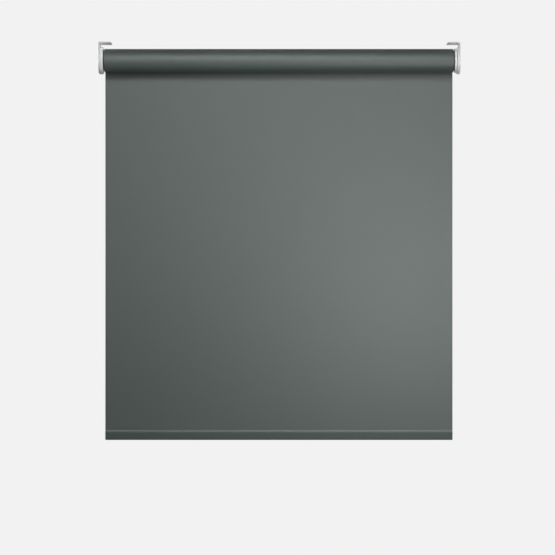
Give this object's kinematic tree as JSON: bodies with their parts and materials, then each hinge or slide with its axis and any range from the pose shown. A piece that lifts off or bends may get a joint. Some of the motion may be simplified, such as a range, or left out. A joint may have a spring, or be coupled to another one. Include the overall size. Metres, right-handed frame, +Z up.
{
  "type": "roller blind",
  "caption": "Roller blind: a motor-driven fabric roll between ceiling brackets, a flat sheet that falls behind the roll, and a weighted hem pocket.",
  "frame": {"origin": "centre of the ceiling screw pattern, on the top faces of the bracket flanges", "axes": "+Z up, out of the ceiling flanges; X along the roll with the motor at +X; -Y faces the room and the fabric hangs on the +Y side of the roll"},
  "size_m": [0.7184, 0.054, 0.7918],
  "materials": {
    "fabric": "plain woven blockout cloth, matt",
    "white_plastic": "satin",
    "bracket_steel": "white powder coat",
    "steel": "bright",
    "aluminium": "mill finish",
    "dark_plastic": "fine grain",
    "acetal": "satin",
    "brass": "turned",
    "windings": "enamelled copper on steel",
    "magnet": "sintered",
    "board": "solder mask",
    "board_parts": "moulded",
    "cell_wrap": "shrink film",
    "lens": "clear",
    "tape": "adhesive tape"
  },
  "bodies": {
    "mount_frame": {"idle_bracket": "bracket_steel", "idle_bracket_cover": "white_plastic", "motor_bracket": "bracket_steel", "motor_bracket_cover": "white_plastic", "motor_head": "white_plastic", "head_lock_clip": "steel", "head_board": "board", "charging_socket": "steel", "status_light_lens": "lens", "motor_case": "aluminium", "case_screws": "steel", "circuit_board": "board", "board_parts": "board_parts", "battery_cells": "cell_wrap", "cell_holder": "acetal", "cell_contacts": "brass", "motor_can": "steel", "motor_magnets": "magnet", "motor_end_cap": "dark_plastic", "brake_ring": "steel", "ring_gear": "steel", "gearbox_end_cap": "dark_plastic", "fabric_drop": "fabric"},
    "armature": {"rotor_shaft": "steel", "rotor_core": "windings", "commutator": "brass", "encoder_magnet": "magnet", "brake_hub": "brass", "sun_gear": "brass"},
    "roller": {"planet_carrier": "steel", "carrier_plate": "steel", "drive_wheel": "dark_plastic", "drive_wheel_clip": "steel", "roller_tube": "aluminium", "crown_ring": "dark_plastic", "bonding_strip": "tape", "fabric_roll": "fabric", "idle_plug": "dark_plastic", "idle_bush": "brass", "idle_spring": "steel"},
    "planet_1": {"planet_gear_1": "acetal"},
    "planet_2": {"planet_gear_2": "acetal"},
    "planet_3": {"planet_gear_3": "acetal"},
    "sprung_pin": {"idle_pin": "steel"},
    "button": {"program_button": "dark_plastic"},
    "hem": {"hem_pocket": "fabric", "bottom_bar": "aluminium", "bar_cap_left": "dark_plastic", "bar_cap_right": "dark_plastic"}
  },
  "joints": [
    {"name": "roll_spin", "type": "hinge", "parent": "mount_frame", "child": "roller", "pos_m": [0, 0, -0.0355], "axis": [1, 0, 0], "range_deg": [-300, 1720]},
    {"name": "hem_lift", "type": "slide", "parent": "mount_frame", "child": "hem", "axis": [0, 0, 1], "range_m": [-0.124, 0.706], "deforming": ["fabric_drop"]},
    {"name": "armature_spin", "type": "hinge", "parent": "mount_frame", "child": "armature", "pos_m": [0, 0, -0.0355], "axis": [1, 0, 0], "range_deg": [-1500, 8600]},
    {"name": "planet_1_spin", "type": "hinge", "parent": "roller", "child": "planet_1", "pos_m": [0, 0, -0.0295], "axis": [1, 0, 0], "range_deg": [-4600, 810]},
    {"name": "planet_2_spin", "type": "hinge", "parent": "roller", "child": "planet_2", "pos_m": [0, -0.0052, -0.0385], "axis": [1, 0, 0], "range_deg": [-4600, 810]},
    {"name": "planet_3_spin", "type": "hinge", "parent": "roller", "child": "planet_3", "pos_m": [0, 0.0052, -0.0385], "axis": [1, 0, 0], "range_deg": [-4600, 810]},
    {"name": "program_button_press", "type": "slide", "parent": "mount_frame", "child": "button", "axis": [0, -0.5736, 0.8192], "range_m": [0, 0.0004], "stiffness_N_per_m": 1000, "springref_m": -0.0005},
    {"name": "idle_pin_slide", "type": "slide", "parent": "mount_frame", "child": "sprung_pin", "axis": [1, 0, 0], "range_m": [0, 0.01], "stiffness_N_per_m": 500, "springref_m": -0.012, "deforming": ["idle_spring"]}
  ],
  "couplings": [
    {"joint": "hem_lift", "follows": "roll_spin", "m_per_rad": 0.0235},
    {"joint": "armature_spin", "follows": "roll_spin", "ratio": 5},
    {"joint": "planet_1_spin", "follows": "roll_spin", "ratio": -2.6667},
    {"joint": "planet_2_spin", "follows": "roll_spin", "ratio": -2.6667},
    {"joint": "planet_3_spin", "follows": "roll_spin", "ratio": -2.6667}
  ]
}
